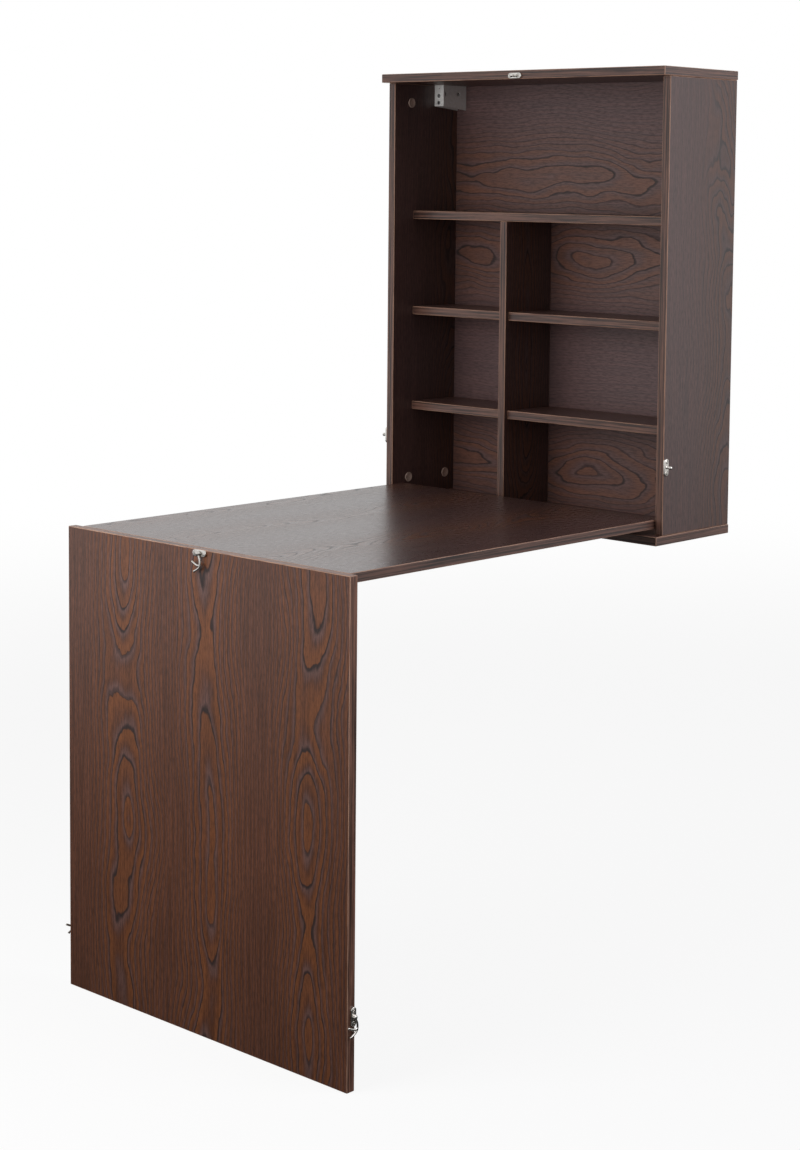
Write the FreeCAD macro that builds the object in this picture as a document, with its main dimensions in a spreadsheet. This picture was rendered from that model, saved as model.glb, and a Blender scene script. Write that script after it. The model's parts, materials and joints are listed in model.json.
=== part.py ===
"""Fold-down wall desk: a shelved wall cabinet closed by its own folding desktop and leg.

X runs to the right, Y towards the wall and Z up. The origin lies on the wall, at the centre of
the four screw holes of the wall plates. Lengths are in millimetres and angles in degrees.
The desk is drawn open: the desktop lies flat and the leg panel stands on the floor.
"""
import FreeCAD
import Part
import Sketcher

import os
import re

Vector = FreeCAD.Vector

# Driving dimensions, one cell each.
SIZES = {
    # Cabinet boards
    "panel": 15,
    "cabinet_width": 630,
    "side_depth": 185,
    "side_overhang": 1.5,
    "front_overhang": 18,
    "back_board": 5,
    "rear_void": 15,
    "back_groove": 6,
    "groove_slip": 0.2,
    "upper_bay": 228,
    "shelf_recess": 50,
    "divider_recess": 42,
    "divider_offset": 75.5,
    # Desktop and leg panel
    "leg_height": 745,
    "leg_top_gap": 2,
    "leg_bottom_gap": 2,
    "desk_rise": 10,
    "desk_side_gap": 1.5,
    "desk_tail": 15,
    "desk_end_gap": 0.5,
    # Desktop pivots
    "pivot_pin_radius": 4,
    "pivot_pin_grip": 25,
    "pivot_pin_reach": 9.5,
    "bush_radius": 6,
    "bush_depth": 11,
    "bush_flange_radius": 7,
    "bush_flange": 0.8,
    "running_slip": 0.05,
    # Leg hinges
    "hinge_axis_offset": 2.8,
    "knuckle_radius": 2.5,
    "knuckle_gap": 0.25,
    "hinge_pin_radius": 1.4,
    "hinge_leaf": 1.2,
    "hinge_width": 60,
    "hinge_reach": 24,
    "hinge_inset": 110,
    "hinge_screw_pitch": 21,
    "hinge_screw_reach": 15,
    # Drilled holes and wood screws
    "drill_slip": 0.05,
    "drill_relief": 0.5,
    "overrun": 1,
    "screw_radius": 1.6,
    "screw_grip": 12,
    "screw_head_radius": 3.2,
    "screw_head": 1,
    # Cam fittings and dowels
    "cam_radius": 7.4,
    "cam_depth": 12,
    "cam_setback": 34,
    "cam_front": 43.4,
    "cam_rear": 23.6,
    "cam_cap_radius": 8.7,
    "cam_cap": 1.2,
    "bolt_thread_radius": 3,
    "bolt_grip": 11,
    "bolt_shank_radius": 2.5,
    "bolt_head_radius": 3.4,
    "bolt_head": 4,
    "dowel_radius": 4,
    "dowel_grip": 7,
    "dowel_hold": 20,
    "dowel_edge": 25,
    # Wall hangers and their plates
    "hang_drop": 24,
    "hanger_width": 22,
    "hanger_depth": 61,
    "hanger_front_height": 38,
    "hanger_rear_height": 44,
    "hanger_wall": 1.5,
    "hanger_screw_drop": 15.5,
    "hanger_screw_front": 6,
    "hanger_screw_pitch": 33,
    "access_hole_radius": 3.5,
    "adjuster_radius": 2,
    "adjuster_head_radius": 3.5,
    "adjuster_head": 1.5,
    "adjuster_pitch": 13,
    "sight_hole_radius": 1.2,
    "arm": 4,
    "arm_height": 10,
    "arm_setback": 12,
    "arm_slack": 2,
    "tongue": 3,
    "tongue_drop": 8,
    "tongue_gap": 0.5,
    "plate": 2,
    "plate_width": 40,
    "plate_inset": 4,
    "lip_slot": 5,
    "lip_height": 14,
    "wall_hole_radius": 3,
    "wall_hole_edge": 8,
    "wall_hole_pitch": 32,
    # Hooks and their catches
    "latch_length": 29,
    "latch_width": 10,
    "latch": 3.5,
    "latch_screw_pitch": 18,
    "latch_post_radius": 2,
    "latch_post": 4.2,
    "latch_knob_radius": 3,
    "collar_radius": 3.4,
    "collar": 0.8,
    "spindle_radius": 2,
    "rivet_radius": 3.2,
    "rivet": 1.4,
    "hook": 2.5,
    "hook_bar": 3.1,
    "hook_hub_radius": 4,
    "hook_reach": 13,
    "hook_slack": 0.8,
    "hook_float": 0.15,
    "prong_run": 17.5,
    "prong_rise": 6,
    "tail_run": 14,
    "tail_drop": 10.5,
    "keeper_rise": 5.5,
    "catch_height": 113,
    "catch_setback": 5,
}

# Places worked out from the driving dimensions, in the order that they depend on each other.
PLACES = {
    # Heights
    "seat_z": "lip_height + wall_hole_edge + wall_hole_pitch / 2",
    "top_under_z": "seat_z + hang_drop",
    "top_z": "top_under_z + panel",
    "side_height": "leg_height + leg_top_gap + leg_bottom_gap",
    "bottom_top_z": "top_under_z - side_height",
    "bottom_z": "bottom_top_z - panel",
    "desk_under_z": "bottom_top_z + desk_rise",
    "desk_top_z": "desk_under_z + panel",
    "floor_z": "desk_top_z - leg_height",
    "upper_shelf_z": "top_under_z - upper_bay - panel",
    "bay_height": "(upper_shelf_z - bottom_top_z - 2 * panel) / 3",
    "middle_shelf_z": "upper_shelf_z - bay_height - panel",
    "lower_shelf_z": "middle_shelf_z - bay_height - panel",
    # Depths
    "side_front_y": "-side_depth",
    "top_front_y": "side_front_y - front_overhang",
    "back_rear_y": "-rear_void",
    "back_front_y": "back_rear_y - back_board",
    "shelf_front_y": "side_front_y + shelf_recess",
    "divider_front_y": "side_front_y + divider_recess",
    # Widths
    "side_out_x": "cabinet_width / 2",
    "side_in_x": "side_out_x - panel",
    "groove_x": "side_in_x + back_groove",
    "top_side_x": "side_out_x + side_overhang",
    "desk_side_x": "side_in_x - desk_side_gap",
    "divider_left_x": "-divider_offset - panel / 2",
    "divider_right_x": "-divider_offset + panel / 2",
    # Folding geometry: closed, the leg fills the front between the top and bottom panels
    "pivot_y": "top_front_y + panel + 2 * hinge_axis_offset + panel / 2",
    "pivot_z": "desk_under_z + panel / 2",
    "leg_above_hinge": "panel + hinge_axis_offset",
    "hinge_arm": "top_under_z - leg_top_gap - leg_above_hinge - pivot_z",
    "hinge_y": "pivot_y - hinge_arm",
    "hinge_z": "desk_under_z - hinge_axis_offset",
    "leg_inner_y": "hinge_y - hinge_axis_offset",
    "leg_outer_y": "leg_inner_y - panel",
    "desk_end_y": "leg_inner_y + desk_end_gap",
    "desk_rear_y": "pivot_y + desk_tail",
    "leg_lift": "top_under_z - leg_top_gap - desk_top_z",
    "hinge_x": "side_out_x - hinge_inset",
    "knuckle_clear": "knuckle_radius + knuckle_gap",
    "knuckle_length": "hinge_width / 3 - knuckle_gap",
    # Hangers
    "hanger_in_x": "side_in_x - hanger_width",
    "hanger_front_y": "back_front_y - hanger_depth",
    "hanger_slant": "hanger_rear_height - hanger_front_height",
    "shell_low_z": "top_under_z - hanger_rear_height",
    "arm_front_y": "hanger_front_y + arm_setback",
    "arm_in_x": "side_in_x - hanger_width / 2 - arm / 2",
    "plate_depth": "2 * plate + lip_slot",
    "plate_in_x": "side_in_x - plate_inset - plate_width",
    "wall_hole_x": "plate_in_x + plate_width / 2",
    "plate_flat": "wall_hole_pitch + 2 * wall_hole_edge",
    "tongue_rear_y": "-plate_depth + plate + tongue_gap + tongue",
    "arm_length": "tongue_rear_y - arm_front_y",
    "adjuster_z": "seat_z + arm_height / 2",
    # Hooks: closed, each spindle lies one hook's reach from the post that it catches
    "keeper_z": "top_under_z + keeper_rise",
    "top_hook_z": "keeper_z - hook_reach - leg_lift",
    "catch_y": "side_front_y + catch_setback",
    "catch_z": "bottom_top_z + catch_height",
    "side_hook_z": "catch_z - leg_lift",
    "side_hook_y": "leg_outer_y + catch_y - hook_reach - top_front_y",
    "hook_lift": "latch + collar + hook_float",
    "hook_back": "latch_post_radius + hook_slack + hook_bar / 2",
    "prong_span": "sqrt(prong_run * prong_run + prong_rise * prong_rise)",
    "heel_y": "-hook_reach - hook_back * (prong_span + prong_rise) / prong_run",
}

doc = FreeCAD.newDocument("FoldDownWallDesk")
sheet = doc.addObject("Spreadsheet::Sheet", "Sizes")


def fill_sheet():
    """Write the driving numbers, then the formulas, each with its alias."""
    row = 0
    for alias, value in SIZES.items():
        row += 1
        sheet.set(f"A{row}", alias)
        sheet.set(f"B{row}", str(value))
        sheet.setAlias(f"B{row}", alias)
    for alias, formula in PLACES.items():
        row += 1
        sheet.set(f"A{row}", alias)
        sheet.set(f"B{row}", "=" + formula)
        sheet.setAlias(f"B{row}", alias)
    doc.recompute()


fill_sheet()

NODES = []
DRILLED = {}
DIRECTIONS = {
    "+X": Vector(1, 0, 0),
    "-X": Vector(-1, 0, 0),
    "+Y": Vector(0, 1, 0),
    "-Y": Vector(0, -1, 0),
    "+Z": Vector(0, 0, 1),
    "-Z": Vector(0, 0, -1),
}
SIDES = {"left": -1, "right": 1}
# Turns of a flat outline: into the plane of a side panel, or facing the front.
UPRIGHT = FreeCAD.Rotation(DIRECTIONS["+Y"], DIRECTIONS["+Z"], DIRECTIONS["+X"], "XYZ")
FRONTAL = FreeCAD.Rotation(DIRECTIONS["+X"], DIRECTIONS["+Z"], DIRECTIONS["-Y"], "XYZ")


def cells(expression):
    """The expression with each alias written as a cell of the sheet."""
    return re.sub(r"\b([a-z][a-z_]*)\b(?!\()", r"Sizes.\1", str(expression))


def bind(item, **expressions):
    """Bind properties of a document object to expressions of the sheet's aliases."""
    for name, expression in expressions.items():
        item.setExpression(name, cells(expression))


def place(item, point, rotation=None):
    """Set an object's rotation and bind its position to three expressions."""
    item.Placement = FreeCAD.Placement(Vector(), rotation or FreeCAD.Rotation())
    for axis, expression in zip("xyz", point):
        item.setExpression(f"Placement.Base.{axis}", cells(expression))


def shifted(point, direction, distance):
    """A point moved along a direction such as -Y by a distance."""
    axis = "XYZ".index(direction[1])
    moved = list(point)
    moved[axis] = f"({point[axis]}) {direction[0]} ({distance})"
    return tuple(moved)


def opposite(direction):
    return ("-" if direction[0] == "+" else "+") + direction[1]


def outward(side):
    """The direction from the cabinet's middle to a side."""
    return "+X" if SIDES[side] > 0 else "-X"


def mirrored(side, x):
    """An x place of the right side, carried to the named side."""
    return x if SIDES[side] > 0 else f"-({x})"


def block(name, low, high):
    """A box between two corners."""
    item = doc.addObject("Part::Box", name)
    sizes = [f"({end}) - ({start})" for start, end in zip(low, high)]
    bind(item, Length=sizes[0], Width=sizes[1], Height=sizes[2])
    place(item, low)
    return item


def side_block(name, side, low, high):
    """A box given for the right side, or its mirror image."""
    if SIDES[side] > 0:
        return block(name, low, high)
    return block(name, (f"-({high[0]})", *low[1:]), (f"-({low[0]})", *high[1:]))


def rod(name, radius, base, direction, length):
    """A cylinder that starts at a point and runs along a direction."""
    item = doc.addObject("Part::Cylinder", name)
    bind(item, Radius=radius, Height=length)
    place(item, base, FreeCAD.Rotation(DIRECTIONS["+Z"], DIRECTIONS[direction]))
    return item


def ball(name, radius, centre):
    item = doc.addObject("Part::Sphere", name)
    bind(item, Radius=radius)
    place(item, centre)
    return item


def fuse(name, shapes):
    if len(shapes) == 1:
        return shapes[0]
    item = doc.addObject("Part::MultiFuse", name)
    item.Shapes = shapes
    return item


def cut(name, base, tools):
    item = doc.addObject("Part::Cut", name)
    item.Base = base
    item.Tool = fuse(name + "Tools", tools)
    return item


def node(label, item):
    """Name an object as a finished piece."""
    item.Label = label
    NODES.append(item)


def group(label, solids):
    """One node of separate, alike solids."""
    item = doc.addObject("Part::Compound", label.title().replace("_", ""))
    item.Links = solids
    node(label, item)


def drill(board, radius, mouth, direction, depth):
    """A blind hole in a board, with room around and below what goes in."""
    base = shifted(mouth, opposite(direction), "overrun")
    hole = rod("Hole", f"{radius} + drill_slip", base, direction, f"{depth} + drill_relief + overrun")
    DRILLED.setdefault(board, []).append(hole)


def board(label, low, high, cuts=()):
    """A rectangular board with its drilled holes and other cuts."""
    name = label.title().replace("_", "")
    blank = block(name + "Blank", low, high)
    tools = DRILLED.get(label, []) + list(cuts)
    node(label, cut(name, blank, tools) if tools else blank)


def outline_body(name, points, depth, base, rotation):
    """A body padded from an outline whose corners are bound to the sheet, all from one corner."""
    body = doc.addObject("PartDesign::Body", name)
    sketch = body.newObject("Sketcher::SketchObject", name + "Outline")
    planes = {feature.Role: feature for feature in body.Origin.OriginFeatures}
    sketch.AttachmentSupport = [(planes["XY_Plane"], "")]
    sketch.MapMode = "FlatFace"
    corners = [tuple(sheet.evalExpression(cells(value)) for value in point) for point in points]
    for index, corner in enumerate(corners):
        following = corners[(index + 1) % len(corners)]
        sketch.addGeometry(Part.LineSegment(Vector(*corner, 0), Vector(*following, 0)))
    for index in range(len(corners)):
        sketch.addConstraint(Sketcher.Constraint("Coincident", index, 2, (index + 1) % len(corners), 1))
    for index, point in enumerate(points):
        for kind, axis, value in (("DistanceX", -2, point[0]), ("DistanceY", -1, point[1])):
            number = sheet.evalExpression(cells(value))
            if value == "0":
                sketch.addConstraint(Sketcher.Constraint("PointOnObject", index, 1, axis))
                continue
            bound = sketch.addConstraint(Sketcher.Constraint(kind, -1, 1, index, 1, number))
            sketch.setExpression(f"Constraints[{bound}]", cells(value))
    pad = body.newObject("PartDesign::Pad", name + "Pad")
    pad.Profile = sketch
    bind(pad, Length=depth)
    place(body, base, rotation)
    return body


def wood_screw(name, seat, direction, through):
    """A flat-head screw: its head sits on a fitting, its shank runs through that into a board."""
    head = rod(name + "Head", "screw_head_radius", seat, opposite(direction), "screw_head")
    shank = rod(name + "Shank", "screw_radius", seat, direction, f"{through} + screw_grip")
    return fuse(name, [head, shank])


def screwed(board_label, name, seat, direction, through):
    """A wood screw with its pilot hole, and the tool for its hole in the fitting."""
    drill(board_label, "screw_radius", shifted(seat, direction, through), direction, "screw_grip")
    base = shifted(seat, opposite(direction), "overrun")
    clearance = rod(name + "Way", "screw_radius + drill_slip", base, direction, f"{through} + 2 * overrun")
    return wood_screw(name, seat, direction, through), clearance


def corner_fittings():
    """Cams, bolts, caps and dowels that join the sides to the top and bottom panels."""
    cams, bolts, caps, dowels = [], [], [], []
    front = "side_front_y + cam_front"
    rear = "back_front_y - cam_rear"
    joints = (
        ("top_panel", "top_under_z", "+Z", front),
        ("bottom_panel", "bottom_top_z", "-Z", front),
        ("bottom_panel", "bottom_top_z", "-Z", rear),
    )
    for side in SIDES:
        side_label = side + "_side_panel"
        out = outward(side)
        edge_x = mirrored(side, "side_in_x + panel / 2")
        for carrier, level, up, y in joints:
            edge = (edge_x, y, level)
            centre = shifted(edge, opposite(up), "cam_setback")
            mouth = (mirrored(side, "side_in_x"), y, centre[2])
            bolt_start = shifted(centre, up, "drill_relief")
            bore = rod("CamBore", "bolt_head_radius + drill_slip", centre, up, "cam_radius + overrun")
            cams.append(cut("Cam", rod("CamBarrel", "cam_radius", mouth, out, "cam_depth"), [bore]))
            caps.append(rod("CamCap", "cam_cap_radius", mouth, opposite(out), "cam_cap"))
            head = rod("BoltHead", "bolt_head_radius", bolt_start, up, "bolt_head")
            shank = rod("BoltShank", "bolt_shank_radius", bolt_start, up, "cam_setback - drill_relief")
            thread = rod("BoltThread", "bolt_thread_radius", edge, up, "bolt_grip")
            bolts.append(fuse("CamBolt", [head, shank, thread]))
            drill(side_label, "cam_radius", mouth, out, "cam_depth")
            drill(side_label, "bolt_head_radius", edge, opposite(up), "cam_setback")
            drill(carrier, "bolt_thread_radius", edge, up, "bolt_grip")
        between_screws = "hanger_front_y + hanger_screw_front + hanger_screw_pitch / 2"
        dowels.append(dowel((edge_x, between_screws, "top_under_z"), "+Z", "top_panel", side_label))
    group("cam_locks", cams)
    group("cam_bolts", bolts)
    group("cam_caps", caps)
    return dowels


def dowel(joint, direction, carrier, held):
    """A wooden dowel across a joint, from the held board into its carrier, with both holes."""
    drill(carrier, "dowel_radius", joint, direction, "dowel_grip")
    drill(held, "dowel_radius", joint, opposite(direction), "dowel_hold")
    start = shifted(joint, opposite(direction), "dowel_hold")
    return rod("Dowel", "dowel_radius", start, direction, "dowel_hold + dowel_grip")


def shelves():
    """The shelf boards, the divider and the dowels that carry them."""
    left_face = ("-side_in_x", "left_side_panel")
    right_face = ("side_in_x", "right_side_panel")
    rows = {
        "upper_shelf": ("upper_shelf_z", left_face, right_face),
    }
    for level in ("middle", "lower"):
        height = level + "_shelf_z"
        rows[f"left_{level}_shelf"] = (height, left_face, ("divider_left_x", "centre_divider"))
        rows[f"right_{level}_shelf"] = (height, ("divider_right_x", "centre_divider"), right_face)
    dowels = []
    rows_of_pins = ("shelf_front_y + dowel_edge", "back_front_y - dowel_edge")
    for label, (height, start, end) in rows.items():
        for y in rows_of_pins:
            middle = f"{height} + panel / 2"
            dowels.append(dowel((start[0], y, middle), "-X", start[1], label))
            dowels.append(dowel((end[0], y, middle), "+X", end[1], label))
    for y in rows_of_pins:
        dowels.append(dowel(("-divider_offset", y, "upper_shelf_z"), "+Z", "upper_shelf", "centre_divider"))
        dowels.append(dowel(("-divider_offset", y, "bottom_top_z"), "-Z", "bottom_panel", "centre_divider"))
    for label, (height, start, end) in rows.items():
        board(label, (start[0], "shelf_front_y", height), (end[0], "back_front_y", f"{height} + panel"))
    board(
        "centre_divider",
        ("divider_left_x", "divider_front_y", "bottom_top_z"),
        ("divider_right_x", "back_front_y", "upper_shelf_z"),
    )
    return dowels


def desk_pivots():
    """Flanged bushes in the side panels and the pins that turn in them."""
    for side in SIDES:
        out = outward(side)
        mouth = (mirrored(side, "side_in_x"), "pivot_y", "pivot_z")
        drill(side + "_side_panel", "bush_radius", mouth, out, "bush_depth")
        barrel = rod("BushBarrel", "bush_radius", mouth, out, "bush_depth")
        flange = rod("BushFlange", "bush_flange_radius", mouth, opposite(out), "bush_flange")
        bore_start = shifted(mouth, opposite(out), "bush_flange + overrun")
        bore_length = "bush_flange + bush_depth + 2 * overrun"
        bore = rod("BushBore", "pivot_pin_radius + running_slip", bore_start, out, bore_length)
        node(side + "_pivot_bush", cut("PivotBush", fuse("BushBlank", [barrel, flange]), [bore]))
        desk_edge = (mirrored(side, "desk_side_x"), "pivot_y", "pivot_z")
        drill("desktop_panel", "pivot_pin_radius", desk_edge, opposite(out), "pivot_pin_grip")
        start = shifted(desk_edge, opposite(out), "pivot_pin_grip")
        length = "pivot_pin_grip + desk_side_gap + pivot_pin_reach"
        node(side + "_pivot_pin", rod("PivotPin", "pivot_pin_radius", start, out, length))


def leg_hinges():
    """Two butt hinges in the corner between the desktop's underside and the leg's inner face."""
    pins, desk_screws, leg_screws = [], [], []
    for side in SIDES:
        centre = mirrored(side, "hinge_x")
        low = f"{centre} - hinge_width / 2"
        high = f"{centre} + hinge_width / 2"
        axis_start = (low, "hinge_y", "hinge_z")
        bore_start = shifted(axis_start, "-X", "overrun")
        bore_length = "hinge_width + 2 * overrun"
        bore = rod("KnuckleBore", "hinge_pin_radius + running_slip", bore_start, "+X", bore_length)
        pins.append(rod("HingePin", "hinge_pin_radius", axis_start, "+X", "hinge_width"))

        desk_pieces = [block(
            "DeskLeaf",
            (low, "hinge_y + knuckle_clear", "desk_under_z - hinge_leaf"),
            (high, "hinge_y + hinge_reach", "desk_under_z"),
        )]
        for start in (low, f"{high} - knuckle_length"):
            end = f"{start} + knuckle_length"
            desk_pieces.append(rod(
                "DeskKnuckle", "knuckle_radius", (start, "hinge_y", "hinge_z"), "+X", "knuckle_length"))
            desk_pieces.append(block(
                "DeskTab",
                (start, "hinge_y", "desk_under_z - hinge_leaf"),
                (end, "hinge_y + knuckle_clear", "desk_under_z"),
            ))
        start = f"{centre} - hinge_width / 6 + knuckle_gap"
        end = f"{centre} + hinge_width / 6 - knuckle_gap"
        leg_pieces = [
            block(
                "LegLeaf",
                (low, "leg_inner_y", "hinge_z - hinge_reach"),
                (high, "leg_inner_y + hinge_leaf", "hinge_z - knuckle_clear"),
            ),
            rod("LegKnuckle", "knuckle_radius", (start, "hinge_y", "hinge_z"), "+X", f"({end}) - ({start})"),
            block(
                "LegTab",
                (start, "leg_inner_y", "hinge_z - knuckle_clear"),
                (end, "leg_inner_y + hinge_leaf", "hinge_z"),
            ),
        ]
        desk_ways, leg_ways = [bore], [bore]
        for offset in ("- hinge_screw_pitch", "", "+ hinge_screw_pitch"):
            x = f"{centre} {offset}"
            seat = (x, "hinge_y + hinge_screw_reach", "desk_under_z - hinge_leaf")
            screw, way = screwed("desktop_panel", "DeskHingeScrew", seat, "+Z", "hinge_leaf")
            desk_screws.append(screw)
            desk_ways.append(way)
            seat = (x, "leg_inner_y + hinge_leaf", "hinge_z - hinge_screw_reach")
            screw, way = screwed("leg_panel", "LegHingeScrew", seat, "-Y", "hinge_leaf")
            leg_screws.append(screw)
            leg_ways.append(way)
        node(side + "_hinge_desk_leaf", cut("HingeDeskLeaf", fuse("DeskLeafBlank", desk_pieces), desk_ways))
        node(side + "_hinge_leg_leaf", cut("HingeLegLeaf", fuse("LegLeafBlank", leg_pieces), leg_ways))
    group("hinge_pins", pins)
    group("desk_hinge_screws", desk_screws)
    group("leg_hinge_screws", leg_screws)


def wall_hangers():
    """Steel hangers in the upper corners, their arms through the back, and the wall plates."""
    adjusters, screws, slots = [], [], []
    for side in SIDES:
        out = outward(side)
        low_x = "hanger_in_x" if SIDES[side] > 0 else "-side_in_x"
        profile = (
            ("0", "hanger_slant"),
            ("hanger_depth", "0"),
            ("hanger_depth", "hanger_rear_height"),
            ("0", "hanger_rear_height"),
        )
        corner = (low_x, "hanger_front_y", "shell_low_z")
        shell = outline_body(side.title() + "HangerShell", profile, "hanger_width", corner, UPRIGHT)
        inside = side_block(
            "HangerInside",
            side,
            ("hanger_in_x + hanger_wall", "hanger_front_y + hanger_wall", "shell_low_z - overrun"),
            ("side_in_x - hanger_wall", "back_front_y + overrun", "top_under_z + overrun"),
        )
        ways = [inside]
        middle_x = mirrored(side, "side_in_x - hanger_width / 2")
        face = (middle_x, "hanger_front_y", "adjuster_z")
        for z, reach in (("adjuster_z", "arm_setback"), ("adjuster_z - adjuster_pitch", "arm_setback / 2")):
            seat = (middle_x, "hanger_front_y", z)
            head = rod("AdjusterHead", "adjuster_head_radius", seat, "-Y", "adjuster_head")
            shank = rod("AdjusterShank", "adjuster_radius", seat, "+Y", reach)
            adjusters.append(fuse("Adjuster", [head, shank]))
            mouth = shifted(seat, "-Y", "overrun")
            ways.append(rod(
                "AdjusterWay", "adjuster_radius + drill_slip", mouth, "+Y", "hanger_wall + 2 * overrun"))
        mouth = shifted(shifted(face, "-Y", "overrun"), "+Z", "adjuster_pitch")
        ways.append(rod("SightHole", "sight_hole_radius", mouth, "+Y", "hanger_wall + 2 * overrun"))
        for y in ("hanger_screw_front", "hanger_screw_front + hanger_screw_pitch"):
            seat = (
                mirrored(side, "side_in_x - hanger_wall"),
                f"hanger_front_y + {y}",
                "top_under_z - hanger_screw_drop",
            )
            screw, way = screwed(side + "_side_panel", "HangerScrew", seat, out, "hanger_wall")
            screws.append(screw)
            access_start = (mirrored(side, "hanger_in_x - overrun"), *seat[1:])
            access = rod(
                "AccessHole", "access_hole_radius", access_start, out, "hanger_wall + 2 * overrun")
            ways += [way, access]
        node(side + "_hanger_housing", cut("HangerHousing", shell, ways))

        arm_profile = (
            ("0", "tongue_drop"),
            ("arm_length - tongue", "tongue_drop"),
            ("arm_length - tongue", "0"),
            ("arm_length", "0"),
            ("arm_length", "tongue_drop + arm_height"),
            ("0", "tongue_drop + arm_height"),
        )
        arm_low_x = "arm_in_x" if SIDES[side] > 0 else "-arm_in_x - arm"
        arm_corner = (arm_low_x, "arm_front_y", "seat_z - tongue_drop")
        node(
            side + "_hanger_arm",
            outline_body(side.title() + "HangerArm", arm_profile, "arm", arm_corner, UPRIGHT),
        )
        slots.append(side_block(
            "ArmSlot",
            side,
            ("arm_in_x - arm_slack", "back_front_y - overrun", "seat_z - tongue_drop - arm_slack"),
            ("arm_in_x + arm + arm_slack", "back_rear_y + overrun", "seat_z + arm_height + arm_slack"),
        ))

        plate_profile = (
            ("plate_depth - plate", "0"),
            ("plate_depth", "0"),
            ("plate_depth", "plate_flat + plate"),
            ("plate", "plate_flat + plate"),
            ("plate", "plate_flat + lip_height"),
            ("0", "plate_flat + lip_height"),
            ("0", "plate_flat"),
            ("plate_depth - plate", "plate_flat"),
        )
        plate_low_x = "plate_in_x" if SIDES[side] > 0 else "-plate_in_x - plate_width"
        plate_corner = (plate_low_x, "-plate_depth", "seat_z - lip_height - plate_flat")
        blank = outline_body(
            side.title() + "PlateBlank", plate_profile, "plate_width", plate_corner, UPRIGHT)
        holes = []
        for z in ("wall_hole_pitch / 2", "-wall_hole_pitch / 2"):
            start = (mirrored(side, "wall_hole_x"), "-plate - overrun", z)
            holes.append(rod("WallHole", "wall_hole_radius", start, "+Y", "plate + 2 * overrun"))
        node(side + "_wall_plate", cut("WallPlate", blank, holes))
    group("hanger_adjusters", adjusters)
    group("hanger_screws", screws)
    return slots


def latch_plate(label, board_label, centre, normal, hooked):
    """A round-ended screwed plate with a knobbed post, or with the spindle that a hook turns on."""
    inward = opposite(normal)
    long_axis = "X" if normal[1] == "Y" else "Z"
    short_axis = "Z" if normal[1] == "Y" else "Y"
    half_straight = "(latch_length - latch_width) / 2"
    low = shifted(shifted(centre, "-" + long_axis, half_straight), "-" + short_axis, "latch_width / 2")
    high = shifted(shifted(centre, "+" + long_axis, half_straight), "+" + short_axis, "latch_width / 2")
    if normal[0] == "+":
        high = shifted(high, normal, "latch")
    else:
        low = shifted(low, normal, "latch")
    pieces = [block("LatchPlate", low, high)]
    face = shifted(centre, normal, "latch")
    if hooked:
        spindle = "collar + hook + 2 * hook_float"
        pieces.append(rod("Collar", "collar_radius", face, normal, "collar"))
        pieces.append(rod("Spindle", "spindle_radius", face, normal, spindle))
        pieces.append(rod("Rivet", "rivet_radius", shifted(face, normal, spindle), normal, "rivet"))
    else:
        knob = shifted(face, normal, "latch_post + latch_knob_radius")
        pieces.append(rod("Post", "latch_post_radius", face, normal, "latch_post + latch_knob_radius"))
        pieces.append(ball("Knob", "latch_knob_radius", knob))
    screws, ways = [], []
    for sign in "-+":
        end = shifted(centre, sign + long_axis, half_straight)
        pieces.append(rod("LatchEnd", "latch_width / 2", end, normal, "latch"))
        mouth = shifted(face, sign + long_axis, "latch_screw_pitch / 2")
        seat = shifted(mouth, inward, "screw_head")
        screw, way = screwed(board_label, "LatchScrew", seat, inward, "latch - screw_head")
        screws.append(screw)
        recess = rod(
            "HeadRecess", "screw_head_radius + drill_slip", seat, normal, "screw_head + overrun")
        ways += [way, recess]
    node(label, cut("LatchFitting", fuse("LatchBlank", pieces), ways))
    return screws


def bar(name, start, end):
    """A straight bar of a hook between two points, with a round at its far end."""
    across = f"(({end[0]}) - ({start[0]}))"
    along = f"(({end[1]}) - ({start[1]}))"
    length = f"sqrt({across} * {across} + {along} * {along})"
    item = doc.addObject("Part::Box", name)
    bind(item, Length=length, Width="hook_bar", Height="hook")
    item.Placement = FreeCAD.Placement(Vector(), FreeCAD.Rotation(DIRECTIONS["+Z"], 0))
    item.setExpression("Placement.Base.x", cells(f"{start[0]} + hook_bar / 2 * {along} / {length}"))
    item.setExpression("Placement.Base.y", cells(f"{start[1]} - hook_bar / 2 * {across} / {length}"))
    item.setExpression("Placement.Rotation.Angle", cells(f"atan2({along}; {across})"))
    return [item, rod(name + "End", "hook_bar / 2", (*end, "0"), "+Z", "hook")]


def swing_hook(label, base, rotation):
    """A flat hook hanging from its spindle: hub, arm, catching prong and finger tail."""
    knee = ("hook_back", "-hook_reach")
    heel = ("hook_back", "heel_y")
    pieces = [rod("HookHub", "hook_hub_radius", ("0", "0", "0"), "+Z", "hook")]
    pieces += bar("HookArm", ("0", "0"), knee)
    pieces += bar("HookBack", knee, heel)
    pieces += bar("HookProng", heel, ("hook_back - prong_run", "heel_y + prong_rise"))
    pieces += bar("HookTail", heel, ("hook_back - tail_run", "heel_y - tail_drop"))
    name = label.title().replace("_", "")
    eye = rod("HookEye", "spindle_radius + running_slip", ("0", "0", "-overrun"), "+Z", "hook + 2 * overrun")
    item = cut(name, fuse(name + "Blank", pieces), [eye])
    place(item, base, rotation)
    node(label, item)


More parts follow.
